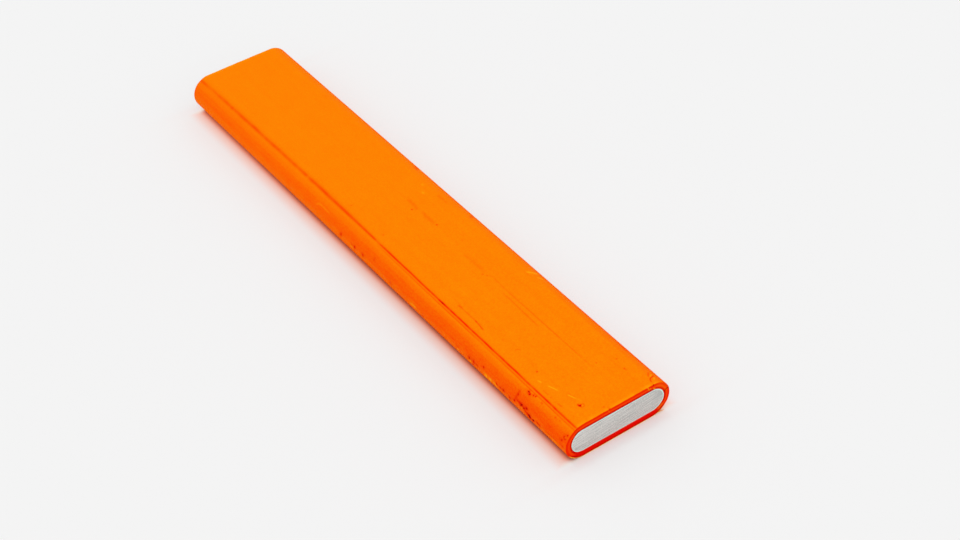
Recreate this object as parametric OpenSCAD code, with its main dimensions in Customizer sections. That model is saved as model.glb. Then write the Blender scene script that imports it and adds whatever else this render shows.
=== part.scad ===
// Rigid insulated busbar, a short cut length.
// A flat metal bar with fully rounded long edges carries the current. A plastic jacket is extruded
// round it and bonded to it all along, and the saw cut at each end trims both of them flush.
//
// Frame: the bar lies flat. X runs along it, Y across it and Z up. The origin is in the middle of the
// flat face that it rests on.

/* [Bar] */
// Length between the two saw cuts
cut_length = 120; // [20:1:1000]
// Width of the metal bar, over its rounded edges
conductor_width = 19; // [10:0.5:60]
// Thickness of the metal bar
conductor_thickness = 5; // [2:0.5:8]

/* [Jacket] */
// Wall of the jacket, the same on the flats and round the edges
jacket_wall = 1.2; // [0.6:0.1:3]

/* [Cut ends] */
// Corner broken off the metal all round each saw cut
conductor_edge_break = 0.12; // [0.05:0.01:0.4]
// Corner broken off the outside of the jacket all round each saw cut
jacket_edge_break = 0.1; // [0.05:0.01:0.4]

/* [Hidden] */
$fn = 96;
metal_grey = "#BFBBB8";
jacket_orange = "#FF8101";

outer_width = conductor_width + 2 * jacket_wall;
outer_thickness = conductor_thickness + 2 * jacket_wall;
mid_height = outer_thickness / 2;
// How far the bore's cutting shape runs past each end face
overrun = 1;

// Cross-section of a flat bar whose two edges are full rounds, in the XY plane
module flat_section(width, thickness) {
    flat = width - thickness;
    square([flat, thickness], center = true);
    for (side = [-1, 1])
        translate([side * flat / 2, 0]) circle(d = thickness);
}

// One side of a bar's lengthwise section, from its middle line out to its surface, with the corners
// at both cuts broken
module half_profile(thickness, length, edge_break) {
    surface = thickness / 2;
    end = length / 2;
    polygon([[0, -end], [surface - edge_break, -end], [surface, edge_break - end],
             [surface, end - edge_break], [surface - edge_break, end], [0, end]]);
}

// Flat bar along X with fully rounded long edges and broken corners at both cuts
module cut_bar(width, thickness, length, edge_break) {
    flat = width - thickness;
    // The flat middle
    rotate([90, 0, 0])
        linear_extrude(flat, center = true)
            for (turn = [90, 270])
                rotate(turn) half_profile(thickness, length, edge_break);
    // The two round edges
    for (side = [-1, 1])
        translate([0, side * flat / 2, 0])
            rotate([0, 90, 0])
                rotate_extrude() half_profile(thickness, length, edge_break);
}

module conductor() {
    color(metal_grey)
        translate([0, 0, mid_height])
            cut_bar(conductor_width, conductor_thickness, cut_length, conductor_edge_break);
}

module insulation() {
    color(jacket_orange)
        translate([0, 0, mid_height])
            difference() {
                cut_bar(outer_width, outer_thickness, cut_length, jacket_edge_break);
                // The bore is the bar's own section with no clearance, because the two are bonded
                rotate([90, 0, 90])
                    linear_extrude(cut_length + 2 * overrun, center = true)
                        flat_section(conductor_width, conductor_thickness);
            }
}

conductor();
insulation();
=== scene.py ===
import math

import bmesh
import bpy
import numpy as np
from mathutils import Matrix, Vector


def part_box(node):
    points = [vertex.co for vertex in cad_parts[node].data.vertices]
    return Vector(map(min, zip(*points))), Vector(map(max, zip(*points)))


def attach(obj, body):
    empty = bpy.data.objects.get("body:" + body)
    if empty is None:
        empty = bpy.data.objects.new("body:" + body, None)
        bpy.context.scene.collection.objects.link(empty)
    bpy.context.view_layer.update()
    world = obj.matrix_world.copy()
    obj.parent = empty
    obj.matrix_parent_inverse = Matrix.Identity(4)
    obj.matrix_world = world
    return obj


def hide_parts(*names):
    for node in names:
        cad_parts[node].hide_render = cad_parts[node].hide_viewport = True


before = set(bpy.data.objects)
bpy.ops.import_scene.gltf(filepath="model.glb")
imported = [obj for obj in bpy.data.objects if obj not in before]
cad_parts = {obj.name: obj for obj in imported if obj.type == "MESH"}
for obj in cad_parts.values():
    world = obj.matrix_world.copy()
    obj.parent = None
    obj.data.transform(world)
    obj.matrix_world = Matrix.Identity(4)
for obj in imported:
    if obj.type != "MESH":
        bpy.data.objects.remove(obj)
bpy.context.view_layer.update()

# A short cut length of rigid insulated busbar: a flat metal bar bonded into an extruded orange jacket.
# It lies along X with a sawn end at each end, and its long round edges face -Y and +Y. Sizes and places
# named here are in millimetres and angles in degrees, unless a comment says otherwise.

MM = 0.001

# Sizes of the two real pieces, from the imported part
jacket_low, jacket_high = (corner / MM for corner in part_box("insulation"))
bar_low, bar_high = (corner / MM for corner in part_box("conductor"))
LENGTH = jacket_high.x - jacket_low.x
WIDTH = jacket_high.y - jacket_low.y
THICKNESS = jacket_high.z - jacket_low.z
HALF_LENGTH = LENGTH / 2
MIDDLE_HEIGHT = (jacket_high.z + jacket_low.z) / 2
# The section is two flats joined by two full rounds, and the bar's section has the same flats
SKIN_RADIUS = THICKNESS / 2
BAR_RADIUS = (bar_high.z - bar_low.z) / 2
WALL = SKIN_RADIUS - BAR_RADIUS
HALF_FLAT = (WIDTH - THICKNESS) / 2
HALF_GIRTH = 2 * HALF_FLAT + math.pi * SKIN_RADIUS

# Finish of the cuts: their broken corners, and the width, length and greatest depth of a saw stroke
JACKET_CORNER = 0.1
BAR_CORNER = 0.12
SAW_ANGLE = 5
SAW_PITCH = 0.11
SAW_STROKE = 1.3
SAW_DEPTH = 0.016
SAW_SEED = 7

# Steps of the meshes: the bar's round edges, and the jacket's wall, bore and section
BAR_EDGE_STEPS = 28
STEPS_ALONG = 170
STEPS_IN_BORE = 12
STEPS_AROUND = 160
CUT_STEP = 0.1
# Longest edges of the jacket's mesh where it has fine detail, and how far round the detail they reach
DIE_LINE_STEP = 0.07
CUT_EDGE_STEP = 0.12
CUT_EDGE_REACH = 0.45
WEAR_STEP = 0.1
WEAR_MARGIN = 0.3
RING_WEAR_STEP = 0.08
RING_WEAR_MARGIN = 0.15
SPLIT_ROUNDS = 4
# A point this near the skin or a cut counts as on it
SURFACE_BAND = 0.04
SHARP_ANGLE = 50

# Die line: a shallow groove drawn along the shoulder of the -Y edge, and a finer one below it, as
# distances round the skin
DIE_LINE = 8.4
DIE_LINE_WIDTH = 0.19
DIE_LINE_DEPTH = 0.05
FINE_LINE = 8.88
FINE_LINE_WIDTH = 0.12
FINE_LINE_DEPTH = 0.02
# Where the die line weakens: place along the bar, width, and the share that is lost there
DIE_LINE_GAPS = ((-4, 8, 0.14), (2.8, 0.4, 0.95), (48.1, 0.3, 0.4), (-20.6, 0.4, 0.5))

# The middle of the extrusion's slow waves lies this far under the jacket's full size
WAVE_SINK = 0.016
# Marks deeper than this have a raised lip
LIPPED_DEPTH = 0.035
# Light marks on the underside and the +Y edge
HIDDEN_MARKS = 34
HIDDEN_SEED = 11

# Thread of plastic that the saw left hanging at the near end
THREAD_RADIUS = 0.07
THREAD_STEPS = 12
THREAD_ROOT = (59.9, 8.0, 0.3)
THREAD_BEND = (59.9, 8.6, 0.2)
THREAD_TIP = (59.9, 9.6, 0.1)

# Camera, with its aim, distance and near clip in metres
AIM = (16.56 * MM, 3.76 * MM, 3.6 * MM)
CAMERA_DISTANCE = 338.5 * MM
CAMERA_AZIMUTH = 56.23
CAMERA_ELEVATION = 41.45
CAMERA_ROLL = -2.85
LENS = 72.34
SENSOR_WIDTH = 36
CLIP_START = 0.01

# Floor: half its width and its drop below the part, in metres
FLOOR_HALF_WIDTH = 3
FLOOR_DROP = 0.02 * MM
# Share of the shadow that the camera doesn't see, away from the object
FLOOR_LIFT = 0.45

# Colours, as linear red, green and blue
FLOOR_WHITE = (0.905, 0.905, 0.905)
# Painted orange bounce light beside the jacket, and a painted contact shadow under its edges
FLOOR_BOUNCE_TINT = (0.905, 0.87, 0.74)
FLOOR_CONTACT_SHADOW = (0.46, 0.06, 0.02)
# The floor's glow, painted orange bounce light under and beside the jacket
BOUNCE_GLOW_UNDER = (1.0, 0.20, 0.06)
BOUNCE_GLOW_BESIDE = (0.98, 0.54, 0.47)
SKIN_ORANGE = (0.99, 0.224, 0.0)
# Painted shade round the long edges, towards the far end and the near end
EDGE_FAR_SHADE_RED = (1.0, 0.135, 0.0)
EDGE_NEAR_SHADE_RED = (0.975, 0.092, 0.0)
# Painted shade low down on the long edges
UNDER_EDGE_SHADE = (0.50, 0.035, 0.0)
SKIN_PALE = (1.0, 0.38, 0.003)
SKIN_DARK = (0.96, 0.012, 0.0)
EDGE_DARK = (0.80, 0.010, 0.0)
DEEP_NICK = (0.20, 0.0, 0.0)
RING_PALE = (1.0, 0.34, 0.0)
RING_DARK = (0.34, 0.004, 0.0)
RING_FLECK = (0.70, 0.008, 0.0)
# Colours of the lip where the cut meets the skin; the yellow one, low down, is a painted highlight
LIP_ORANGE = (1.0, 0.24, 0.0)
LIP_RED = (0.97, 0.09, 0.0)
LIP_YELLOW_HIGHLIGHT = (1.0, 0.50, 0.03)
LIP_BRIGHT = (1.0, 0.12, 0.0)
METAL_DULL = (0.535, 0.536, 0.514)
METAL_BRIGHT = (0.77, 0.762, 0.728)
# Painted shade on the metal's upper +Y corner
METAL_SHADED = (0.47, 0.49, 0.475)
# Painted highlight along the bar's broken corner
METAL_RIM_HIGHLIGHT = (0.64, 0.98, 0.90)
# Plastic smeared over the bar's edge, its top darker as painted shade in the gap
SMEAR_LOW = (0.88, 0.004, 0.0)
SMEAR_HIGH_SHADE = (0.60, 0.004, 0.0)
SMEAR_CORNER = (0.86, 0.03, 0.0)
# Bands of the jacket's cut, from the bar outwards. The dark inner band is painted shade in the gap at the
# bar, and the lower set is darker as painted shade towards the bottom
UPPER_RING = ((0.66, 0.003, 0.0), (1.0, 0.050, 0.0), (0.91, 0.020, 0.0))
LOWER_RING_SHADE = ((0.80, 0.004, 0.0), (0.87, 0.002, 0.0), (0.55, 0.002, 0.0))
CORNER_RING = ((0.75, 0.02, 0.0), (1.0, 0.105, 0.001), (0.94, 0.055, 0.0))
# Widths of the pale lip outside those bands, and of the soft step to it
UPPER_LIP = 0.05
LOWER_LIP = 0.17
LIP_BLUR = 0.04
# Painted shade, the skin reddening round a long edge: where each rise starts and stops, in radians, and its
# share
EDGE_SHADE_RISES = ((0.2, 0.3, 0.06), (0.45, 0.86, 0.50), (0.84, 0.93, 0.28), (0.95, 1.2, 0.16), (1.2, 1.75, -0.35))
PLASTIC_SPECULAR = 0.004

# Wear on the jacket. Each row is a mark's width, depth, tone and path: a place on a path is the distance
# along the bar from its middle, then round the skin from the top middle line towards -Y. Tone is how far
# the mark darkens to deep red, or below nought how far it pales.
TOP_WEAR = (
    (0.35, 0.08, 1.05, ((56.0, 5.2), (56.4, 5.2), (56.7, 5.0))),
    (0.3, 0.06, 1.0, ((56.4, 5.1), (56.4, 4.7))),
    (0.24, 0.0, -0.7, ((56.7, 4.7), (56.8, 4.9))),
    (0.2, 0.03, 0.5, ((56.3, 4.4), (56.7, 4.4), (57.0, 4.7), (56.9, 5.2))),
    (0.32, 0.05, 0.9, ((46.0, 5.8), (46.2, 5.9))),
    (0.3, 0.04, 0.5, ((50.4, -3.0),)),
    (0.3, 0.04, 0.8, ((51.7, -6.2),)),
    (0.3, 0.04, 0.7, ((54.2, -5.8),)),
    (0.3, 0.04, 0.5, ((59.0, 2.3),)),
    (0.3, 0.03, 0.3, ((57.8, 7.4),)),
    (0.26, 0.03, 0.3, ((40.2, 4.9), (39.8, 5.6))),
    (0.24, 0.02, 0.2, ((36.5, 5.6), (36.9, 6.2))),
    (0.4, 0.05, 0.5, ((21.3, -1.1),)),
    (0.36, 0.04, 0.4, ((22.0, -1.5),)),
    (0.36, 0.05, 1.3, ((5.5, -2.4), (5.6, -2.4))),
    (0.36, 0.04, 0.9, ((-0.7, -1.3),)),
    (0.5, 0.02, 0.2, ((11.7, -3.5),)),
    (0.8, 0.02, 0.18, ((15.1, -1.6), (17.1, -1.8), (18.6, -1.7), (20.6, -1.7))),
    (0.24, 0.02, 0.25, ((22.2, -1.7), (22.9, -2.2), (24.2, -2.0), (27.2, -1.9))),
    (0.24, 0.02, 0.4, ((27.2, -1.9), (32.3, -1.9), (37.4, -1.9), (42.5, -1.9))),
    (0.24, 0.02, 0.28, ((42.5, -1.9), (47.0, -1.9))),
    (0.24, 0.01, 0.18, ((47.0, -1.9), (50.0, -1.9))),
    (0.24, 0.02, 0.35, ((27.5, -1.0), (30.2, -1.0), (33.3, -0.9), (37.7, -0.8))),
    (0.8, 0.02, 0.24, ((-3.6, -2.4), (-1.4, -2.3), (-0.1, -2.0))),
    (0.8, 0.02, 0.24, ((1.1, -2.5), (2.6, -2.2), (5.1, -2.3))),
    (0.6, 0.01, 0.24, ((-1.2, -7.3), (1.8, -7.3))),
    (0.4, 0.01, 0.12, ((25.3, -7.2), (26.9, -7.3))),
    (0.3, 0.01, 0.14, ((23.4, 6.4), (25.5, 6.5))),
    (0.34, 0.03, 0.4, ((25.2, 6.8), (26.0, 6.6))),
    (0.26, 0.03, 0.4, ((25.6, 6.7), (28.1, 6.7), (30.4, 6.7))),
    (0.3, 0.04, 0.75, ((30.1, 6.7), (31.3, 6.8), (32.7, 7.0))),
    (0.26, 0.02, 0.4, ((50.0, 7.6), (51.4, 7.6))),
    (0.26, 0.02, 0.35, ((52.0, 7.6), (52.3, 7.6))),
    (0.24, 0.02, 0.3, ((53.3, 7.7), (53.6, 7.7))),
    (0.28, 0.03, 0.55, ((53.9, 7.6), (54.9, 7.5))),
    (0.24, 0.02, -1.1, ((47.8, 7.0), (48.5, 6.8))),
    (0.22, 0.02, -1.1, ((49.8, 6.4), (51.6, 5.8))),
    (0.22, 0.02, -1.1, ((53.4, 5.1), (54.6, 4.7))),
    (0.2, 0.01, 0.25, ((53.1, 4.9), (54.5, 4.5))),
    (0.18, 0.01, -0.5, ((54.6, 4.7), (55.7, 4.2))),
    (0.4, 0.0, -0.7, ((-3.7, -5.6), (-3.1, -5.5))),
    (0.5, 0.0, -0.5, ((-5.6, -6.8), (-5.1, -6.7))),
    (0.5, 0.01, -1.0, ((25.5, -7.5), (26.0, -8.1), (26.6, -9.0))),
    (0.4, 0.01, -0.7, ((27.6, -8.2), (28.4, -8.9))),
    (0.24, 0.03, 0.6, ((57.0, -8.6), (57.5, -8.1), (58.0, -7.7))),
    (0.24, 0.01, -0.9, ((57.7, -8.6), (58.2, -8.0))),
    (0.26, 0.04, 0.9, ((58.1, -8.8), (58.4, -7.9), (58.7, -7.5), (59.3, -7.3))),
    (0.24, 0.01, -0.9, ((58.5, -8.6), (59.0, -8.1))),
    (0.6, 0.04, 0.4, ((6.5, -9.7), (7.0, -9.1), (7.4, -8.6))),
    (0.8, 0.07, 0.45, ((-11.6, -9.8), (-10.9, -9.3), (-10.1, -8.9))),
    (0.8, 0.01, -0.4, ((-10.4, -9.8), (-9.8, -9.6))),
    (0.5, 0.06, 0.6, ((53.1, -9.7), (54.0, -9.5))),
    (0.5, 0.04, 0.5, ((48.6, -9.4), (50.7, -9.3))),
    (0.34, 0.02, 0.5, ((-8.4, 6.7),)),
    (0.34, 0.02, 0.5, ((2.0, 6.6),)),
    (0.9, 0.01, 0.12, ((-40.0, -7.5), (-38.9, -7.4))),
)
SIDE_WEAR = (
    (0.6, 0.08, 1.45, ((48.3, 9.3), (48.3, 9.5))),
    (0.6, 0.08, 1.5, ((48.7, 9.5), (48.9, 9.7))),
    (0.4, 0.06, 1.4, ((49.4, 9.3), (49.6, 9.3))),
    (0.35, 0.06, 1.3, ((50.0, 9.2),)),
    (0.35, 0.02, 0.6, ((51.5, 9.3), (52.0, 9.3))),
    (0.4, 0.04, 0.7, ((55.5, 9.4), (55.5, 9.6))),
    (0.35, 0.02, 0.5, ((56.6, 9.4),)),
    (0.35, 0.05, 1.4, ((59.5, 10.2), (59.4, 10.4))),
    (0.3, 0.04, 1.1, ((59.1, 10.7), (58.9, 10.9), (59.2, 11.2), (59.5, 11.0))),
    (0.25, 0.0, -0.6, ((59.2, 10.9),)),
    (0.35, 0.04, 1.0, ((58.8, 11.5), (58.6, 11.9))),
    (0.65, 0.02, 0.6, ((58.9, 12.7), (59.3, 12.8))),
    (0.45, 0.05, 0.8, ((46.9, 11.0), (46.8, 11.1))),
    (0.45, 0.02, 0.6, ((46.8, 10.1), (46.7, 11.3), (46.4, 12.3), (46.3, 12.7))),
    (0.55, 0.04, 1.2, ((46.2, 12.7),)),
    (0.65, 0.04, 1.3, ((44.9, 13.1),)),
    (0.55, 0.04, 0.9, ((46.9, 12.1), (47.7, 12.1))),
    (0.9, 0.12, 2.8, ((48.1, 12.2), (48.2, 12.3))),
    (0.35, 0.02, -1.1, ((48.4, 12.4), (48.2, 12.8))),
    (0.6, 0.06, 1.8, ((48.8, 12.4), (48.9, 12.5))),
    (0.65, 0.07, 1.4, ((49.2, 12.0), (49.7, 12.0))),
    (0.55, 0.05, 0.9, ((49.1, 12.8), (49.9, 12.8))),
    (0.45, 0.02, 0.3, ((50.5, 12.3), (50.9, 12.4))),
    (0.9, 0.11, 2.8, ((50.1, 13.2), (50.5, 13.1))),
    (0.5, 0.08, 1.8, ((51.1, 13.4), (51.6, 13.0))),
    (0.55, 0.04, 1.0, ((52.2, 12.8), (53.2, 13.0))),
    (0.4, 0.03, 0.5, ((54.4, 12.9), (55.9, 12.8), (57.5, 12.9))),
    (0.8, 0.06, 2.0, ((43.2, 12.8), (43.3, 12.7))),
    (0.55, 0.04, 1.1, ((42.4, 12.8),)),
    (0.65, 0.04, 1.1, ((41.2, 12.8), (41.6, 12.8))),
    (0.5, 0.05, 1.3, ((37.5, 11.9), (37.7, 11.8))),
    (1.0, 0.06, 1.1, ((34.6, 12.7), (35.1, 12.7))),
    (0.9, 0.05, 1.6, ((33.5, 12.7), (33.7, 12.7))),
    (0.65, 0.02, 0.8, ((35.6, 12.7), (36.1, 12.7))),
    (0.65, 0.02, 0.4, ((29.8, 12.7), (30.6, 12.7))),
    (0.7, 0.01, -1.5, ((38.1, 13.4), (38.5, 13.2))),
    (0.65, 0.01, -1.5, ((39.3, 13.3), (39.7, 13.1))),
    (0.55, 0.01, -0.7, ((40.4, 13.2), (40.7, 13.1), (41.6, 13.4))),
    (0.5, 0.01, -0.9, ((33.6, 13.4), (34.0, 13.1))),
    (0.4, 0.01, -0.6, ((30.1, 13.4), (30.5, 13.1))),
    (0.6, 0.01, -0.7, ((16.1, 13.1), (16.7, 12.9), (17.6, 13.0))),
    (0.55, 0.04, 1.0, ((34.4, 13.7), (34.7, 13.5))),
    (0.55, 0.04, 0.8, ((19.5, 13.5), (19.9, 13.3))),
    (0.75, 0.06, 1.2, ((-1.9, 12.3), (-1.5, 12.4))),
    (0.65, 0.02, 0.6, ((-2.7, 12.3), (-2.5, 12.3))),
    (0.9, 0.06, 0.9, ((0.7, 12.4), (1.2, 12.4))),
    (0.7, 0.05, 0.9, ((-6.0, 12.1), (-6.5, 12.7))),
    (0.6, 0.0, -0.5, ((-3.0, 13.0), (-2.6, 12.8))),
    (0.9, 0.02, 0.5, ((9.6, 12.7), (10.2, 12.7))),
    (0.9, 0.02, 0.4, ((4.2, 11.1), (4.6, 11.2))),
    (0.35, 0.01, -0.3, ((-14.9, 11.1), (-14.3, 10.6), (-13.3, 10.5), (-10.8, 10.6))),
    (0.9, 0.0, -0.3, ((56.1, 13.5), (57.7, 13.5))),
)
# Wear on the near cut ring, in the same way, but its places are across the bar and up
RING_WEAR = (
    (0.22, 0.07, 0.9, ((9.4, 4.4), (9.9, 4.8), (10.4, 4.9))),
    (0.14, 0.02, -1.0, ((6.0, 7.3), (6.2, 6.9), (6.3, 6.6))),
    (0.14, 0.02, -0.7, ((6.5, 6.9), (6.7, 6.6))),
    (0.16, 0.06, 0.9, ((7.2, 7.3), (7.1, 7.1))),
    (0.22, 0.02, -1.0, ((7.2, 6.5), (7.5, 6.2))),
    (0.16, 0.02, -0.3, ((-2.1, 7.1), (-1.8, 6.7))),
    (0.3, 0.06, 1.0, ((-8.6, 5.8), (-8.2, 6.2))),
    (0.5, 0.03, 0.4, ((6.4, 6.3), (7.0, 6.3))),
    (0.5, 0.02, -0.3, ((8.4, 1.3), (9.0, 1.8))),
)
# A torn place on the upper edge of the near cut, as a distance round the skin
CUT_TEAR = 1.8
CUT_TEAR_WIDTH = 0.18


# ---------- Node trees ----------

def add(tree, kind, inputs=None, **settings):
    """A new node's outputs. Each input is a plain value or another node's output."""
    made = tree.nodes.new(kind)
    for name, value in settings.items():
        setattr(made, name, value)
    for name, value in (inputs or {}).items():
        if isinstance(value, bpy.types.NodeSocket):
            tree.links.new(value, made.inputs[name])
        else:
            made.inputs[name].default_value = value
    return made.outputs


def calc(tree, operation, *values, clamp=False):
    """The result of a Math node."""
    return add(tree, "ShaderNodeMath", dict(enumerate(values)), operation=operation, use_clamp=clamp)[0]


def product(tree, one, other):
    """Two values multiplied."""
    return calc(tree, "MULTIPLY", one, other)


def total(tree, *values):
    """The sum of several values."""
    result = values[0]
    for value in values[1:]:
        result = calc(tree, "ADD", result, value)
    return result


def blend(tree, factor, low, high, within=True):
    """A colour between two others, or also a little past them where it isn't kept within them."""
    colours = [value if isinstance(value, bpy.types.NodeSocket) else (*value, 1) for value in (low, high)]
    mixed = add(tree, "ShaderNodeMix", {0: factor, 6: colours[0], 7: colours[1]}, data_type="RGBA",
                clamp_factor=within)
    return mixed[2]


def ramp_up(tree, value, start, stop, low=0.0, high=1.0):
    """A smooth step of value from low at start to high at stop."""
    return add(tree, "ShaderNodeMapRange", {0: value, 1: start, 2: stop, 3: low, 4: high},
               interpolation_type="SMOOTHSTEP")[0]


def ramp_at(tree, distance, start, stop, low=0.0, high=1.0):
    """A smooth step of a distance in metres, between places in millimetres."""
    return ramp_up(tree, distance, start * MM, stop * MM, low, high)


def wobble(tree, value, amount, centre=0.0):
    """Noise made amount high and moved to lie about centre."""
    return calc(tree, "MULTIPLY_ADD", calc(tree, "SUBTRACT", value, 0.5), amount, centre)


def noise(tree, place, size, detail=2.0, roughness=0.5):
    """Noise from 0 to 1 whose grains are size millimetres long, the same each way or one for X, Y and Z."""
    sizes = size if isinstance(size, tuple) else (size, size, size)
    scaled = add(tree, "ShaderNodeMapping", {"Vector": place, "Scale": [1 / (one * MM) for one in sizes]})
    return add(tree, "ShaderNodeTexNoise",
               {"Vector": scaled[0], "Scale": 1.0, "Detail": detail, "Roughness": roughness})["Fac"]


def strokes(tree, place, long, fine):
    """Noise drawn out along the saw's direction, across the cut ends, in millimetres."""
    turned = add(tree, "ShaderNodeMapping",
                 {"Vector": place, "Rotation": (math.radians(SAW_ANGLE), 0, 0),
                  "Scale": (1.0, long * MM, fine * MM)}, vector_type="TEXTURE")
    return add(tree, "ShaderNodeTexNoise", {"Vector": turned[0], "Scale": 1.0, "Detail": 3.0})["Fac"]


# ---------- Finishes ----------

def start_finish(name, metallic, specular):
    """A new material, its tree and shader, the place on the piece, and that place's X, Y and Z."""
    material = bpy.data.materials.new(name)
    material.use_nodes = True
    tree = material.node_tree
    shader = tree.nodes["Principled BSDF"]
    shader.inputs["Metallic"].default_value = metallic
    shader.inputs["Specular IOR Level"].default_value = specular
    place = add(tree, "ShaderNodeTexCoord")["Object"]
    return material, tree, shader, place, *add(tree, "ShaderNodeSeparateXYZ", {0: place})


def set_surface(tree, shader, colour, rough, height, depth):
    """The shader's colour and roughness, and small relief, depth millimetres high where height is 1."""
    bump = add(tree, "ShaderNodeBump", {"Height": height, "Strength": 1.0, "Distance": depth * MM})
    for name, value in (("Base Color", colour), ("Roughness", rough), ("Normal", bump[0])):
        tree.links.new(value, shader.inputs[name])


def section_offsets(tree, y, z):
    """How far each place lies past the ends of the flats and above the section's middle, in metres."""
    aside = calc(tree, "SUBTRACT", calc(tree, "ABSOLUTE", y), HALF_FLAT * MM)
    return calc(tree, "MAXIMUM", aside, 0.0), calc(tree, "SUBTRACT", z, MIDDLE_HEIGHT * MM)


def section_reach(tree, y, z):
    """Distance from the section's middle bone, in metres: the same all round a flat with full rounds."""
    over, up = section_offsets(tree, y, z)
    return calc(tree, "SQRT", total(tree, product(tree, over, over), product(tree, up, up)))


def edge_turn(tree, y, z):
    """Angle round a long edge, in radians: 0 where the top flat ends and half a turn at the underside."""
    return calc(tree, "ARCTAN2", *section_offsets(tree, y, z))


def wear_marks(tree):
    """How dark and how pale each place is, as the jacket's mesh says: wear, and the painted shade and
    highlights of the die lines and the cut edges.
    """
    return [add(tree, "ShaderNodeAttribute", attribute_name=name)["Fac"] for name in ("dark", "pale")]


def edge_redness(tree, x, y, turn):
    """Painted shade: how the skin reddens round a long edge, a little more on the +Y side, and eases off
    again low down as painted light from the floor.
    """
    more = product(tree, calc(tree, "GREATER_THAN", y, 0.0), ramp_at(tree, x, -10, 60, 0.08, 0.28))
    rises = [ramp_up(tree, turn, start, stop, 0.0, share) for start, stop, share in EDGE_SHADE_RISES]
    return total(tree, *rises, product(tree, more, ramp_up(tree, turn, 0.1, 0.55)))


def under_edge_share(tree, x, y, turn):
    """Painted shade: how brown the low part of a long edge is, more towards the near end, less on the +Y
    side.
    """
    along = product(tree, ramp_up(tree, turn, 1.72, 2.1), ramp_at(tree, x, -50, 20, 0.0, 0.8))
    return product(tree, along, ramp_at(tree, y, 0, 1, 1.0, 0.4))


def jacket_skin_finish():
    """Matt orange plastic with die streaks, fine grain and scuffs, turned deeper red round the long edges and
    brown low down as painted shade.
    """
    material, tree, shader, place, x, y, z = start_finish("jacket_skin", 0.0, PLASTIC_SPECULAR)
    clouds = noise(tree, place, 4, 3.0)
    patches = noise(tree, place, (2.6, 1.3, 1.3), 3.0)
    streaks = noise(tree, place, (40, 0.7, 0.7), 3.0, 0.6)
    fine_streaks = noise(tree, place, (5, 0.3, 0.3), 3.0, 0.6)
    lines = noise(tree, place, (25, 0.16, 0.16))
    grain = noise(tree, place, 0.25)
    turn = total(tree, edge_turn(tree, y, z), wobble(tree, clouds, 0.06),
                 ramp_at(tree, x, 25, -5, 0.0, 0.05))
    mottle = total(tree, wobble(tree, patches, 0.5), wobble(tree, fine_streaks, 0.7))
    # The skin's painted edge shade, with random tone on top
    shade = total(tree, edge_redness(tree, x, y, turn),
                  product(tree, mottle, ramp_up(tree, turn, 0.8, 1.3, 0.3, 1.0)),
                  wobble(tree, clouds, 0.2), wobble(tree, streaks, 0.3), wobble(tree, grain, 1.0))
    edge_shade_red = blend(tree, ramp_at(tree, x, -60, 60), EDGE_FAR_SHADE_RED, EDGE_NEAR_SHADE_RED)
    colour = blend(tree, shade, SKIN_ORANGE, edge_shade_red, within=False)
    colour = blend(tree, under_edge_share(tree, x, y, turn), colour, UNDER_EDGE_SHADE)
    dark, pale = wear_marks(tree)
    colour = blend(tree, pale, colour, SKIN_PALE)
    colour = blend(tree, dark, colour, blend(tree, ramp_up(tree, turn, 0.6, 1.1), SKIN_DARK, EDGE_DARK))
    colour = blend(tree, ramp_up(tree, dark, 1.0, 1.5), colour, DEEP_NICK)
    rough = total(tree, wobble(tree, streaks, 0.2, 0.5), wobble(tree, clouds, 0.15),
                  product(tree, dark, 0.15))
    set_surface(tree, shader, colour, rough, total(tree, product(tree, grain, 0.5), lines), 0.006)
    return material


def ring_bands(tree, reach, bands, lip_width, lip):
    """Colour across the cut wall: three bands from the bar outwards, and the lip along the skin."""
    inner, middle, outer = bands
    edge = SKIN_RADIUS - lip_width
    colour = blend(tree, ramp_at(tree, reach, BAR_RADIUS + 0.18, BAR_RADIUS + 0.50), inner, middle)
    colour = blend(tree, ramp_at(tree, reach, BAR_RADIUS + 0.60, BAR_RADIUS + 0.85), colour, outer)
    return blend(tree, ramp_at(tree, reach, edge - LIP_BLUR, edge + LIP_BLUR), colour, lip)


def jacket_cut_finish():
    """The jacket's sawn ring: deep red plastic in bands, with painted shade against the bar and towards the
    bottom, and a painted highlight along its low outer edge.
    """
    material, tree, shader, place, _, y, z = start_finish("jacket_cut", 0.0, PLASTIC_SPECULAR)
    smear = noise(tree, place, 0.7, 3.0)
    grain = noise(tree, place, 0.12)
    saw = strokes(tree, place, 1.5, 0.1)
    reach = calc(tree, "ADD", section_reach(tree, y, z), wobble(tree, smear, 0.16 * MM))
    top_lip = blend(tree, ramp_at(tree, y, -7, -9), LIP_ORANGE, LIP_RED)
    upper = ring_bands(tree, reach, UPPER_RING, UPPER_LIP, top_lip)
    lower = ring_bands(tree, reach, LOWER_RING_SHADE, LOWER_LIP, LIP_YELLOW_HIGHLIGHT)
    bright = ring_bands(tree, reach, CORNER_RING, UPPER_LIP, LIP_BRIGHT)
    corner = product(tree, ramp_at(tree, y, 6.8, 8.6), ramp_at(tree, z, 4.2, 5.0))
    # Painted shade: darker towards the bottom of the ring
    colour = blend(tree, ramp_at(tree, z, 2, 1), blend(tree, corner, upper, bright), lower)
    fleck = calc(tree, "ADD", wobble(tree, saw, 0.35, 0.05), wobble(tree, grain, 0.25), clamp=True)
    colour = blend(tree, fleck, colour, RING_FLECK)
    dark, pale = wear_marks(tree)
    colour = blend(tree, dark, blend(tree, pale, colour, RING_PALE), RING_DARK)
    rough = total(tree, wobble(tree, saw, 0.3, 0.5), wobble(tree, grain, 0.15))
    set_surface(tree, shader, colour, rough, total(tree, saw, grain), 0.01)
    return material


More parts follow.
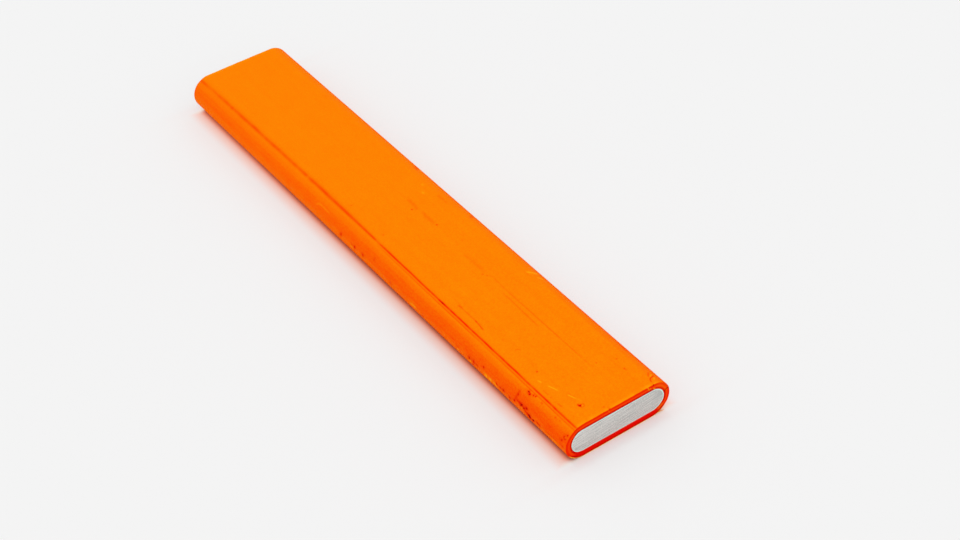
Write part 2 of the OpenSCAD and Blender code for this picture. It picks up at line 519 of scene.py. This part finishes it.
def sawn_grey(tree, y, z, fine, broad, grain, patchy):
    """The cut metal's grey, with saw strokes and grain, painted lighter towards the top and the -Y side as
    painted light, and with painted shade in the upper +Y corner.
    """
    # Painted light: lighter towards the top and the -Y side
    painted_light_slope = product(tree, ramp_at(tree, z, 2.2, 4.8), ramp_at(tree, y, -8, 8, 0.26, -0.08))
    tone = total(tree, wobble(tree, fine, 4.6, 0.5), wobble(tree, broad, 0.5), wobble(tree, grain, 2.8),
                 painted_light_slope)
    # Painted shade in the upper +Y corner
    corner = product(tree, ramp_at(tree, y, 5, 9), ramp_at(tree, z, 2.5, 4.5))
    shaded = product(tree, corner, ramp_up(tree, patchy, 0.3, 0.6, 0.2, 0.7))
    return blend(tree, shaded, blend(tree, tone, METAL_DULL, METAL_BRIGHT), METAL_SHADED)


def bar_metal_finish():
    """Bare grey metal with fine saw strokes across its ends, a painted highlight along its broken corner, and
    plastic smeared on it, darker at the top as painted shade.
    """
    material, tree, shader, place, _, y, z = start_finish("bar_metal", 1.0, 0.5)
    fine, broad = strokes(tree, place, 5.0, 0.2), strokes(tree, place, 6.0, 0.6)
    grain, patchy = noise(tree, place, 0.24), noise(tree, place, 1.6)
    grey = sawn_grey(tree, y, z, fine, broad, grain, patchy)
    overlap = total(tree, section_reach(tree, y, z), wobble(tree, grain, 0.06 * MM),
                    ramp_at(tree, y, -9, -7, -0.08 * MM, 0.07 * MM),
                    ramp_at(tree, z, 3.4, 1.4, 0.0, 0.19 * MM))
    # Painted highlight along the broken corner
    rim_highlight = product(tree, ramp_at(tree, overlap, BAR_RADIUS - 0.24, BAR_RADIUS - 0.16),
                  ramp_up(tree, patchy, 0.36, 0.5, 0.6, 1.0))
    smear = ramp_at(tree, overlap, BAR_RADIUS - 0.04, BAR_RADIUS + 0.03)
    # The smeared plastic is darker towards the top, as painted shade in the gap at the bar
    plastic = blend(tree, ramp_at(tree, z, 2.4, 4.0), SMEAR_LOW, SMEAR_HIGH_SHADE)
    plastic = blend(tree, ramp_at(tree, y, 7.5, 8.6), plastic, SMEAR_CORNER)
    colour = blend(tree, smear, blend(tree, rim_highlight, grey, METAL_RIM_HIGHLIGHT), plastic)
    tree.links.new(calc(tree, "SUBTRACT", 1.0, smear), shader.inputs["Metallic"])
    rough = total(tree, wobble(tree, fine, 0.3, 0.42), wobble(tree, patchy, 0.15),
                  product(tree, smear, 0.2))
    set_surface(tree, shader, colour, rough, total(tree, fine, product(tree, broad, 0.5)), 0.008)
    return material


def floor_colour(tree, aside, beyond):
    """White, with painted orange bounce light a little beside the jacket and a painted contact shadow right
    under its edges.
    """
    bounce_tint = product(tree, ramp_at(tree, aside, 1.6, -0.8), ramp_at(tree, beyond, 0.5, -0.5))
    contact_shadow = product(tree, ramp_at(tree, aside, 0.2, -2.2), ramp_at(tree, beyond, 0, -1))
    return blend(tree, contact_shadow, blend(tree, bounce_tint, FLOOR_WHITE, FLOOR_BOUNCE_TINT), FLOOR_CONTACT_SHADOW)


def shadow_lift(tree, aside, beyond):
    """The share of the shadow that the camera and reflections don't see."""
    beside = total(tree, ramp_at(tree, aside, -1.8, -0.7, 0.0, 1.25 * FLOOR_LIFT),
                   ramp_at(tree, aside, 1, 3, 0.0, -0.25 * FLOOR_LIFT))
    beside = product(tree, beside, ramp_at(tree, beyond, 1.0, -0.5, 0.5, 1.0))
    against = product(tree, ramp_at(tree, beyond, -0.3, 0.1),
                      ramp_at(tree, beyond, 1.8, 0.2, 0.0, 0.4 * FLOOR_LIFT))
    before = total(tree, ramp_at(tree, beyond, 0.3, 3.0, 0.0, FLOOR_LIFT), against)
    seen = add(tree, "ShaderNodeLightPath")
    rays = total(tree, seen["Is Camera Ray"], seen["Is Glossy Ray"], seen["Is Transmission Ray"])
    return product(tree, calc(tree, "MINIMUM", rays, 1.0), calc(tree, "MAXIMUM", beside, before))


def floor_finish():
    """Plain white, with painted orange bounce light and contact shadow right beside the jacket."""
    material, tree, shader, _, x, y, _ = start_finish("floor_white", 0.0, 0.0)
    shader.inputs["Roughness"].default_value = 0.9
    aside = calc(tree, "SUBTRACT", calc(tree, "ABSOLUTE", y), WIDTH / 2 * MM)
    beyond = calc(tree, "SUBTRACT", calc(tree, "ABSOLUTE", x), HALF_LENGTH * MM)
    tree.links.new(floor_colour(tree, aside, beyond), shader.inputs["Base Color"])
    # Painted orange bounce light: the glow in the softened shadow takes the jacket's colour near it
    bounce_glow_colour = blend(tree, ramp_at(tree, aside, -1.5, -0.1), BOUNCE_GLOW_UNDER, BOUNCE_GLOW_BESIDE)
    clear = calc(tree, "MAXIMUM", ramp_at(tree, aside, -0.8, 2.4), ramp_at(tree, beyond, -1.5, 0.3))
    bounce_glow = add(tree, "ShaderNodeEmission", {"Color": blend(tree, clear, bounce_glow_colour, FLOOR_WHITE)})
    mixed = add(tree, "ShaderNodeMixShader",
                {0: shadow_lift(tree, aside, beyond), 1: shader.outputs[0], 2: bounce_glow[0]})
    tree.links.new(mixed[0], tree.nodes["Material Output"].inputs["Surface"])
    return material


# ---------- Objects and Geometry Nodes ----------

def show(name, data):
    """A new object in the scene."""
    made = bpy.data.objects.new(name, data)
    bpy.context.scene.collection.objects.link(made)
    return made


def start_tree(name, floats, whole_numbers=(), vectors=()):
    """A Geometry Nodes tree with named inputs, and the outputs of its Group Input."""
    tree = bpy.data.node_groups.new(name, "GeometryNodeTree")
    for kind, names in (("Float", floats), ("Int", whole_numbers), ("Vector", vectors)):
        for one in names:
            tree.interface.new_socket(one, in_out="INPUT", socket_type="NodeSocket" + kind)
    tree.interface.new_socket("Geometry", in_out="OUTPUT", socket_type="NodeSocketGeometry")
    return tree, tree.nodes.new("NodeGroupInput").outputs


def run_tree(tree, values):
    """The plain mesh that a tree makes from these inputs."""
    holder = show(tree.name, bpy.data.meshes.new(tree.name))
    modifier = holder.modifiers.new("tree", "NODES")
    modifier.node_group = tree
    for item in tree.interface.items_tree:
        if item.in_out == "INPUT":
            modifier[item.identifier] = values[item.name]
    evaluated = holder.evaluated_get(bpy.context.evaluated_depsgraph_get())
    mesh = bpy.data.meshes.new_from_object(evaluated)
    bpy.data.objects.remove(holder)
    return mesh


def outline_cuts(tree, size):
    """How often to divide each side of the wall's outline: finely on the skin and across the cuts."""
    here = add(tree, "GeometryNodeInputPosition")[0]
    index = add(tree, "GeometryNodeInputIndex")[0]
    following = add(tree, "GeometryNodeOffsetPointInCurve", {"Point Index": index, "Offset": 1})
    there = add(tree, "GeometryNodeFieldAtIndex",
                {"Value": here, "Index": following["Point Index"]}, data_type="FLOAT_VECTOR")
    gap = add(tree, "ShaderNodeVectorMath", {0: here, 1: there[0]}, operation="DISTANCE")["Value"]
    outward = add(tree, "ShaderNodeSeparateXYZ", {0: here})["X"]
    on_skin = add(tree, "FunctionNodeCompare", {0: outward, 1: 0.0}, operation="GREATER_THAN")
    lengthwise = add(tree, "FunctionNodeCompare", {0: gap, 1: product(tree, size["Wall"], 2.0)},
                     operation="GREATER_THAN")
    long_cuts = add(tree, "GeometryNodeSwitch", {"Switch": on_skin[0], "False": size["Steps In Bore"],
                                                 "True": size["Steps Along"]}, input_type="INT")
    short_cuts = add(tree, "FunctionNodeFloatToInt", {0: calc(tree, "DIVIDE", gap, size["Cut Step"])},
                     rounding_mode="FLOOR")
    cuts = add(tree, "GeometryNodeSwitch", {"Switch": lengthwise[0], "False": short_cuts[0],
                                            "True": long_cuts[0]}, input_type="INT")
    return cuts[0]


def wall_outline(tree, size):
    """The wall's lengthwise outline with rounded corners."""
    outline = add(tree, "GeometryNodeCurvePrimitiveQuadrilateral",
                  {"Width": size["Wall"], "Height": size["Length"]}, mode="RECTANGLE")
    outline = add(tree, "GeometryNodeFilletCurve",
                  {"Curve": outline[0], "Count": 3, "Radius": size["Cut Corner"]}, mode="POLY")
    divided = add(tree, "GeometryNodeSubdivideCurve",
                  {"Curve": outline[0], "Cuts": outline_cuts(tree, size)})
    return divided[0]


def section_path(tree, size):
    """The middle of the wall round the section: two flats and two full rounds, in even steps."""
    across = calc(tree, "SUBTRACT", size["Width"], size["Wall"])
    up = calc(tree, "SUBTRACT", size["Thickness"], size["Wall"])
    path = add(tree, "GeometryNodeCurvePrimitiveQuadrilateral", {"Width": across, "Height": up},
               mode="RECTANGLE")
    path = add(tree, "GeometryNodeFilletCurve",
               {"Curve": path[0], "Count": 32, "Radius": product(tree, up, 0.5),
                "Limit Radius": True}, mode="POLY")
    path = add(tree, "GeometryNodeResampleCurve", {"Curve": path[0], "Count": size["Steps Around"]},
               mode="COUNT")
    path = add(tree, "GeometryNodeSetCurveNormal", {"Curve": path[0]}, mode="Z_UP")
    return path[0]


def finish_solid(tree, geometry, material):
    """The geometry made smooth, real and of one material."""
    smooth = add(tree, "GeometryNodeSetShadeSmooth", {"Geometry": geometry})
    real = add(tree, "GeometryNodeRealizeInstances", {"Geometry": smooth[0]})
    finished = add(tree, "GeometryNodeSetMaterial", {"Geometry": real[0], "Material": material})
    return finished[0]


def extruded_jacket_tree(skin, cut):
    """The jacket: its wall's outline swept round the section, then turned to lie along X."""
    tree, size = start_tree(
        "extruded_jacket",
        ("Length", "Width", "Thickness", "Wall", "Cut Corner", "Cut Step", "Middle Height"),
        ("Steps Along", "Steps In Bore", "Steps Around"))
    swept = add(tree, "GeometryNodeCurveToMesh",
                {"Curve": section_path(tree, size), "Profile Curve": wall_outline(tree, size)})
    height = add(tree, "ShaderNodeCombineXYZ", {"Z": size["Middle Height"]})
    laid = add(tree, "GeometryNodeTransform",
               {"Geometry": swept[0], "Translation": height[0], "Rotation": (math.pi / 2, 0, math.pi / 2)})
    skinned = finish_solid(tree, laid[0], skin)
    along = add(tree, "ShaderNodeSeparateXYZ", {0: add(tree, "GeometryNodeInputPosition")[0]})
    cut_plane = calc(tree, "SUBTRACT", product(tree, size["Length"], 0.5),
                     product(tree, size["Cut Corner"], 0.5))
    at_cut = add(tree, "FunctionNodeCompare", {0: calc(tree, "ABSOLUTE", along["X"]), 1: cut_plane},
                 operation="GREATER_THAN")
    finished = add(tree, "GeometryNodeSetMaterial",
                   {"Geometry": skinned, "Selection": at_cut[0], "Material": cut})
    add(tree, "NodeGroupOutput", {0: finished[0]})
    return tree


def burr_thread_tree(skin):
    """A thin curl of plastic that a saw leaves, tapering to its tip."""
    tree, size = start_tree("burr_thread", ("Thread Radius",), ("Steps",), ("Root", "Bend", "Tip"))
    curl = add(tree, "GeometryNodeCurveQuadraticBezier",
               {"Resolution": size["Steps"], "Start": size["Root"], "Middle": size["Bend"],
                "End": size["Tip"]})
    along = add(tree, "GeometryNodeSplineParameter")["Factor"]
    taper = calc(tree, "SUBTRACT", 1.0, product(tree, along, 0.6))
    ring = add(tree, "GeometryNodeCurvePrimitiveCircle", {"Resolution": 8, "Radius": size["Thread Radius"]})
    tube = add(tree, "GeometryNodeCurveToMesh",
               {"Curve": curl[0], "Profile Curve": ring[0], "Scale": taper, "Fill Caps": True})
    add(tree, "NodeGroupOutput", {0: finish_solid(tree, tube[0], skin)})
    return tree


# ---------- Places on the skin ----------

def skin_place(places):
    """Where points lie: along the bar, round the skin from the top middle line towards -Y, how far out
    from the section's middle bone, and the direction out."""
    y = places[:, 1]
    z = places[:, 2] - MIDDLE_HEIGHT
    over = np.maximum(np.abs(y) - HALF_FLAT, 0)
    reach = np.hypot(over, z)
    on_flat = over == 0
    top = np.where(on_flat, np.abs(y), HALF_FLAT + SKIN_RADIUS * np.arctan2(over, z))
    around = np.where(on_flat & (z < 0), HALF_GIRTH - np.abs(y), top)
    safe = np.maximum(reach, 1e-6)
    out = np.stack([np.zeros_like(y), np.sign(y) * over / safe, z / safe], axis=1)
    return places[:, 0], np.where(y < 0, around, -around), reach, out


def soft_noise(u, v, seed):
    """Smooth random waves from -1 to 1, about one to each unit of u and v."""
    table = np.random.default_rng(seed).uniform(-1, 1, (64, 64))
    i, j = np.floor(u).astype(int), np.floor(v).astype(int)
    a, b = u - i, v - j
    a, b = a * a * (3 - 2 * a), b * b * (3 - 2 * b)
    low = table[i % 64, j % 64] * (1 - a) + table[(i + 1) % 64, j % 64] * a
    high = table[i % 64, (j + 1) % 64] * (1 - a) + table[(i + 1) % 64, (j + 1) % 64] * a
    return low * (1 - b) + high * b


def wander(x, pitch, seed):
    """Smooth random waves from -1 to 1 along the bar only, about one to each pitch."""
    return soft_noise(x / pitch, x * 0, seed)


def bell(distance, width):
    """1 on a line, falling smoothly to nothing a little past width."""
    return np.exp(-(distance / width) ** 2)


def fade_in(value, start, stop):
    """0 up to start, rising evenly to 1 at stop."""
    return np.clip((value - start) / (stop - start), 0, 1)


def path_distance(x, s, path):
    """Distance of each place from a path, and how far along the path its nearest point is, from 0 to 1."""
    points = path if len(path) > 1 else path * 2
    nearest = np.full(x.shape, np.inf)
    share = np.full(x.shape, 0.5)
    parts = len(points) - 1
    for k in range(parts):
        (x0, s0), (x1, s1) = points[k], points[k + 1]
        dx, ds = x1 - x0, s1 - s0
        t = np.clip(((x - x0) * dx + (s - s0) * ds) / max(dx * dx + ds * ds, 1e-9), 0, 1)
        d = np.hypot(x - x0 - t * dx, s - s0 - t * ds)
        closer = d < nearest
        nearest = np.where(closer, d, nearest)
        if len(path) > 1:
            share = np.where(closer, (k + t) / parts, share)
    return nearest, share


def hidden_side_wear():
    """Light scuffs and specks on the underside and the +Y edge, like those on the other sides."""
    rng = np.random.default_rng(HIDDEN_SEED)
    rows = []
    for _ in range(HIDDEN_MARKS):
        x = rng.uniform(-56, 56)
        s = rng.uniform(-24, -11) if rng.random() < 0.6 else rng.uniform(16, 24)
        run = rng.choice((0.0, 0.4, 2.5, 6.0))
        path = ((x, s),) if run == 0 else ((x - run / 2, s), (x + run / 2, s + rng.uniform(-0.4, 0.4)))
        rows.append((rng.uniform(0.2, 0.4), rng.uniform(0.01, 0.05), rng.uniform(0.25, 0.7), path))
    return tuple(rows)


WEAR = TOP_WEAR + SIDE_WEAR + hidden_side_wear()


# ---------- Jacket ----------

def fine_step_needed(x, s, around):
    """The longest mesh edge allowed at each place on the skin; around marks edges that run round the bar."""
    step = np.full(x.shape, np.inf)
    by_lines = (s > DIE_LINE - 0.5) & (s < FINE_LINE + 0.4) & around
    step[by_lines] = DIE_LINE_STEP
    step[np.abs(x) > HALF_LENGTH - CUT_EDGE_REACH] = CUT_EDGE_STEP
    for width, _, _, path in WEAR:
        xs, ss = zip(*path)
        reach = width / 2 + WEAR_MARGIN
        near = (x > min(xs) - reach) & (x < max(xs) + reach) & (s > min(ss) - reach) & (s < max(ss) + reach)
        spots = np.flatnonzero(near)
        distance, _ = path_distance(x[spots], s[spots], path)
        step[spots[distance < reach]] = WEAR_STEP
    return step


def ring_wear_distance(places, path):
    """Distance of each place from a mark across the near cut ring."""
    distance, _ = path_distance(places[:, 1], places[:, 2], path)
    return distance + 5 * np.maximum(HALF_LENGTH - 0.3 - places[:, 0], 0)


def split_long_edges(bm):
    """Halves the jacket's edges wherever its wear needs a finer mesh. Returns how many."""
    bm.verts.index_update()
    places = np.array([v.co[:] for v in bm.verts]) / MM
    ends = np.array([(e.verts[0].index, e.verts[1].index) for e in bm.edges])
    first, second = places[ends[:, 0]], places[ends[:, 1]]
    middle = (first + second) / 2
    x, s, reach, _ = skin_place(middle)
    length = np.linalg.norm(first - second, axis=1)
    around = np.abs(first[:, 0] - second[:, 0]) < length / 2
    step = np.where(reach > SKIN_RADIUS - SURFACE_BAND, fine_step_needed(x, s, around), np.inf)
    for width, _, _, path in RING_WEAR:
        near = ring_wear_distance(middle, path) < width / 2 + RING_WEAR_MARGIN
        step = np.where(near, RING_WEAR_STEP, step)
    edges = [edge for edge, wanted in zip(bm.edges, length > step * 1.3) if wanted]
    if edges:
        bmesh.ops.subdivide_edges(bm, edges=edges, cuts=1, use_grid_fill=True)
    return len(edges)


def round_out(places):
    """Puts points that a split left on a chord of the round back on the skin."""
    x, _, reach, out = skin_place(places)
    on_skin = (reach > SKIN_RADIUS - SURFACE_BAND) & (np.abs(x) < HALF_LENGTH - JACKET_CORNER)
    places[on_skin] += out[on_skin] * (SKIN_RADIUS - reach[on_skin])[:, None]
    return places


def mesh_places(mesh):
    """A mesh's points in millimetres."""
    flat = np.empty(len(mesh.vertices) * 3)
    mesh.vertices.foreach_get("co", flat)
    return flat.reshape(-1, 3) / MM


def die_line_drift(x):
    """How far the die lines stray from their places round the skin, towards -Y."""
    drift = 0.09 * (x / HALF_LENGTH) ** 2 + 0.35 * (np.clip(-x - 30, 0, 30) / 30) ** 2
    drift += 0.03 * wander(x, 9, seed=21) - 0.1 * bell(x + 8, 22) * (x < 2.8)
    return drift + 0.03 * wander(x, 2.2, seed=22)


def die_line_strength(x):
    """How strongly the main die line shows along the bar."""
    strength = 0.8 + 0.25 * np.tanh(x / 22) - 0.1 * bell(x + 50, 15) + 0.12 * wander(x, 4, seed=23)
    strength += (0.12 + 0.1 * fade_in(x, 15, 25)) * wander(x, 0.8, seed=24)
    kept = np.ones_like(x)
    for place, width, share in DIE_LINE_GAPS:
        kept -= share * bell(x - place, width)
    strength *= kept
    strength += 0.4 * bell(x - 22.8, 0.9) - 0.12 * fade_in(x, 42, 50)
    return strength - 0.34 * fade_in(x, 56, 59)


def fine_line_strength(x):
    """How strongly the finer line shows along the bar."""
    strength = np.clip(0.75 + 0.4 * wander(x, 6, seed=25), 0, 1) * fade_in(x, 2, 6)
    return strength + (0.4 * bell(x - 54, 2) - 0.2 * fade_in(x, 57, 60))


def die_line_relief(x, s, height, dark, pale):
    """The two lines that the die draws along the shoulder of the -Y edge: shallow grooves whose dark colour
    is painted shade, with a painted highlight beside the finer one.
    """
    drift = die_line_drift(x)
    strength = die_line_strength(x)
    line = bell(s - DIE_LINE - drift, DIE_LINE_WIDTH * (1.45 - 0.5 * np.tanh((x + 3) / 6)))
    height -= DIE_LINE_DEPTH * line * np.minimum(strength, 1)
    # The groove's dark colour, here and for the finer line, is painted shade
    dark += line * strength
    strength = fine_line_strength(x)
    line = bell(s - FINE_LINE - drift, FINE_LINE_WIDTH)
    height -= FINE_LINE_DEPTH * line * strength
    dark += 0.62 * line * strength
    # Painted highlight beside the finer line
    pale += 0.1 * bell(s - FINE_LINE - 0.25 - drift, 0.14) * strength


def wear_relief(x, s, rows, height, dark, pale):
    """Nicks, scratches and scuffs, with a low raised lip beside the deep ones."""
    break_up = 0.9 + 0.15 * soft_noise(x * 2.4, s * 2.4, seed=31)
    for width, depth, tone, path in rows:
        distance, share = path_distance(x, s, path)
        near = np.flatnonzero(distance < 3 * width)
        taper = np.clip(7 * np.minimum(share, 1 - share) + 0.45, 0, 1)[near]
        body = bell(distance[near], width / 2) * taper * break_up[near]
        height[near] -= depth * body
        if depth > LIPPED_DEPTH:
            height[near] += 0.2 * depth * bell(distance[near] - width * 0.85, width * 0.3) * taper
        if tone > 0:
            dark[near] += tone * body
        else:
            pale[near] -= tone * body


def broad_relief(x, s, height):
    """The slow waves and fine ridges of an extrusion, faded out where it lies on the floor."""
    waves = 0.009 * soft_noise(x / 16, s / 5, seed=41) + 0.003 * soft_noise(x / 40, s * 1.1, seed=42)
    fade = np.clip((HALF_GIRTH - HALF_FLAT - np.abs(s)) / 2, 0, 1)
    height += (waves - WAVE_SINK) * fade


def cut_edge_relief(places, x, s, reach, dark, pale):
    """Ragged cut edges: shallow bites out of the ring's outer corner, and a pale lip along the skin that is a
    painted highlight.
    """
    side = np.sign(x)
    inward = HALF_LENGTH - np.abs(x)
    at_skin = np.clip((reach - SKIN_RADIUS + 0.2) / 0.2, 0, 1)
    at_corner = at_skin * np.clip((0.25 - inward) / 0.25, 0, 1)
    rag = np.clip(0.5 + 0.5 * soft_noise(s * 0.9, side * 3, seed=51), 0, 1) * 0.05
    rag += np.clip(soft_noise(s * 3.4, side * 3, seed=52) - 0.25, 0, 1) * 0.09
    # Painted highlight along the burred edge of the skin beside the cut
    lip = np.clip(0.55 + 0.4 * soft_noise(s * 1.3, side * 5, seed=53), 0, 1)
    lip *= np.clip((9 - np.abs(s)) / 1.5, 0, 1)
    torn = bell(s - CUT_TEAR, CUT_TEAR_WIDTH) * (x > 0)
    places[:, 0] -= side * at_corner * (rag + 0.12 * torn)
    dark += at_corner * 0.5 * torn
    pale += at_skin * bell(inward - 0.16, 0.12) * lip * (torn < 0.2)


def ring_relief(places, x, reach, dark, pale):
    """The ring's own surface: a slight dish, and the marks across the near one."""
    side = np.sign(x)
    on_ring = (np.abs(x) > HALF_LENGTH - SURFACE_BAND) & (reach > BAR_RADIUS + 0.05)
    dish = 0.012 + 0.010 * soft_noise(places[:, 1] * 1.4, places[:, 2] * 1.4, seed=61)
    places[:, 0] -= side * on_ring * dish
    for width, depth, tone, path in RING_WEAR:
        mark = bell(ring_wear_distance(places, path), width / 2) * (x > 0) * (reach > BAR_RADIUS + 0.02)
        places[:, 0] -= depth * mark
        dark += max(tone, 0) * mark
        pale += max(-tone, 0) * mark


def shape_jacket(mesh):
    """Gives the swept jacket its relief, and the attributes that its finishes read."""
    places = round_out(mesh_places(mesh))
    x, s, reach, out = skin_place(places)
    height, dark, pale = np.zeros_like(x), np.zeros_like(x), np.zeros_like(x)
    die_line_relief(x, s, height, dark, pale)
    wear_relief(x, s, WEAR, height, dark, pale)
    broad_relief(x, s, height)
    skin_share = np.clip((reach - SKIN_RADIUS + 0.15) / 0.15, 0, 1)
    places += out * (height * skin_share)[:, None]
    dark *= skin_share
    pale *= skin_share
    cut_edge_relief(places, x, s, reach, dark, pale)
    ring_relief(places, x, reach, dark, pale)
    places = np.clip(places, np.array(jacket_low), np.array(jacket_high))
    mesh.vertices.foreach_set("co", (places * MM).ravel())
    for name, values in (("dark", dark), ("pale", pale)):
        layer = mesh.attributes.new(name, "FLOAT", "POINT")
        layer.data.foreach_set("value", np.clip(values, 0, 1.5))


def refine_jacket(mesh):
    """Divides the swept jacket's mesh where its relief needs it."""
    bm = bmesh.new()
    bm.from_mesh(mesh)
    bmesh.ops.recalc_face_normals(bm, faces=bm.faces)
    for _ in range(SPLIT_ROUNDS):
        if not split_long_edges(bm):
            break
    bmesh.ops.triangulate(bm, faces=bm.faces)
    bm.to_mesh(mesh)
    bm.free()


def add_thread(mesh, skin):
    """Adds the thread of plastic left hanging by the saw, as pale as a fresh scuff."""
    root, bend, tip = (tuple(part * MM for part in place) for place in (THREAD_ROOT, THREAD_BEND, THREAD_TIP))
    thread = run_tree(burr_thread_tree(skin), {"Thread Radius": THREAD_RADIUS * MM, "Steps": THREAD_STEPS,
                                               "Root": root, "Bend": bend, "Tip": tip})
    pale = thread.attributes.new("pale", "FLOAT", "POINT")
    pale.data.foreach_set("value", [1.0] * len(thread.vertices))
    bm = bmesh.new()
    bm.from_mesh(mesh)
    bm.from_mesh(thread)
    bm.to_mesh(mesh)
    bm.free()


def make_jacket():
    """The extruded jacket, with a thread of plastic left hanging by the saw at its near end."""
    skin, cut = jacket_skin_finish(), jacket_cut_finish()
    swept = run_tree(extruded_jacket_tree(skin, cut), {
        "Length": LENGTH * MM, "Width": WIDTH * MM, "Thickness": THICKNESS * MM, "Wall": WALL * MM,
        "Cut Corner": JACKET_CORNER * MM, "Cut Step": CUT_STEP * MM, "Middle Height": MIDDLE_HEIGHT * MM,
        "Steps Along": STEPS_ALONG, "Steps In Bore": STEPS_IN_BORE, "Steps Around": STEPS_AROUND})
    refine_jacket(swept)
    shape_jacket(swept)
    add_thread(swept, skin)
    swept.set_sharp_from_angle(angle=math.radians(SHARP_ANGLE))
    return swept


# ---------- Bar ----------

def section_points(radius):
    """Points round the flat section with full rounds."""
    points = []
    for side in (1, -1):
        for k in range(BAR_EDGE_STEPS + 1):
            turn = math.pi * (k / BAR_EDGE_STEPS - 0.5)
            y, z = HALF_FLAT + radius * math.cos(turn), radius * math.sin(turn)
            points.append((side * y, MIDDLE_HEIGHT + side * z))
    return points


def bar_loops():
    """Where the bar's loops lie along it and out from its middle bone, with a broken corner each end."""
    corner = []
    for turn in map(math.radians, (0, 30, 60, 90)):
        corner.append((HALF_LENGTH - BAR_CORNER * (1 - math.cos(turn)),
                       BAR_RADIUS - BAR_CORNER * (1 - math.sin(turn))))
    return [(-x, radius) for x, radius in corner] + [(x, radius) for x, radius in reversed(corner)]


def saw_cuts():
    """The planes that part the saw's strokes, each a direction and an offset along it."""
    turn = math.radians(SAW_ANGLE)
    across, along = Vector((0, -math.sin(turn), math.cos(turn))), Vector((0, math.cos(turn), math.sin(turn)))
    half_span = HALF_FLAT * math.sin(turn) + BAR_RADIUS
    half_run = HALF_FLAT * math.cos(turn) + BAR_RADIUS
    return ([(across, offset) for offset in np.arange(-half_span, half_span, SAW_PITCH)]
            + [(along, offset) for offset in np.arange(-half_run, half_run, SAW_STROKE)])


def saw_end(bm, face, side, rng):
    """Divides a sawn end into narrow strokes and sets each a little back."""
    middle = Vector((side * HALF_LENGTH, 0, MIDDLE_HEIGHT)) * MM
    faces = [face]
    for normal, offset in saw_cuts():
        shift = (offset + rng.uniform(-0.2, 0.2) * SAW_PITCH) * MM
        geometry = list({part for one in faces for part in (*one.verts, *one.edges, one)})
        geometry.sort(key=lambda part: (type(part).__name__, part.index))
        result = bmesh.ops.bisect_plane(bm, geom=geometry, dist=1e-9, plane_co=middle + normal * shift,
                                        plane_no=normal)
        faces = [part for part in result["geom"] if isinstance(part, bmesh.types.BMFace)]
    inner = {vert for one in faces for vert in one.verts if all(link in faces for link in vert.link_faces)}
    for vert in sorted(inner, key=lambda v: (round(v.co.y, 7), round(v.co.z, 7))):
        vert.co.x -= side * rng.uniform(0.1, 1.0) * SAW_DEPTH * MM


def make_bar():
    """The flat bar: plain rolled sides inside the jacket and a sawn end at each end."""
    bm = bmesh.new()
    loops = [[bm.verts.new((x * MM, y * MM, z * MM)) for y, z in section_points(radius)]
             for x, radius in bar_loops()]
    for one, other in zip(loops, loops[1:]):
        for k in range(len(one)):
            after = (k + 1) % len(one)
            bm.faces.new((one[k], one[after], other[after], other[k])).smooth = True
    ends = [(bm.faces.new(loops[0]), -1), (bm.faces.new(loops[-1]), 1)]
    rng = np.random.default_rng(SAW_SEED)
    for face, side in ends:
        saw_end(bm, face, side, rng)
    bmesh.ops.triangulate(bm, faces=[face for face in bm.faces if len(face.verts) > 4])
    bmesh.ops.recalc_face_normals(bm, faces=bm.faces)
    mesh = bpy.data.meshes.new("bar")
    bm.to_mesh(mesh)
    bm.free()
    mesh.materials.append(bar_metal_finish())
    return mesh


# ---------- The scene ----------

def place_piece(mesh, name, node):
    """Shows a mesh as a piece that stands for a CAD node."""
    piece = show(name, mesh)
    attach(piece, "root")
    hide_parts(node)


def make_floor():
    """A plain pale floor, just under the part."""
    bm = bmesh.new()
    bmesh.ops.create_grid(bm, x_segments=1, y_segments=1, size=FLOOR_HALF_WIDTH)
    bmesh.ops.translate(bm, verts=bm.verts, vec=(0, 0, -FLOOR_DROP))
    mesh = bpy.data.meshes.new("floor")
    bm.to_mesh(mesh)
    bm.free()
    mesh.materials.append(floor_finish())
    show("floor", mesh)


def make_light():
    """Even white light from all round, as in a light tent. The camera sees its wall as white as the floor."""
    world = bpy.data.worlds.new("light_tent")
    world.use_nodes = True
    bpy.context.scene.world = world
    tree = world.node_tree
    light = tree.nodes["Background"]
    light.inputs["Color"].default_value = (1, 1, 1, 1)
    light.inputs["Strength"].default_value = 1.0
    wall = add(tree, "ShaderNodeBackground", {"Color": (*FLOOR_WHITE, 1)})
    seen = add(tree, "ShaderNodeLightPath")["Is Camera Ray"]
    tent = add(tree, "ShaderNodeMixShader", {0: seen, 1: light.outputs[0], 2: wall[0]})
    tree.links.new(tent[0], tree.nodes["World Output"].inputs["Surface"])


def make_camera():
    """A camera that looks at the near end from above, across the -Y edge."""
    azimuth, elevation = math.radians(CAMERA_AZIMUTH), math.radians(CAMERA_ELEVATION)
    back = Vector((math.sin(azimuth) * math.cos(elevation),
                   -math.cos(azimuth) * math.cos(elevation), math.sin(elevation)))
    camera = show("camera", bpy.data.cameras.new("camera"))
    camera.data.lens = LENS
    camera.data.sensor_width = SENSOR_WIDTH
    camera.data.clip_start = CLIP_START
    camera.location = Vector(AIM) + back * CAMERA_DISTANCE
    turn = (-back).to_track_quat("-Z", "Y").to_matrix().to_4x4()
    camera.rotation_euler = (turn @ Matrix.Rotation(math.radians(CAMERA_ROLL), 4, "Z")).to_euler()
    bpy.context.scene.camera = camera


make_camera()
make_light()
make_floor()
place_piece(make_jacket(), "jacket", "insulation")
place_piece(make_bar(), "bar", "conductor")
bpy.context.scene.view_settings.view_transform = "Standard"
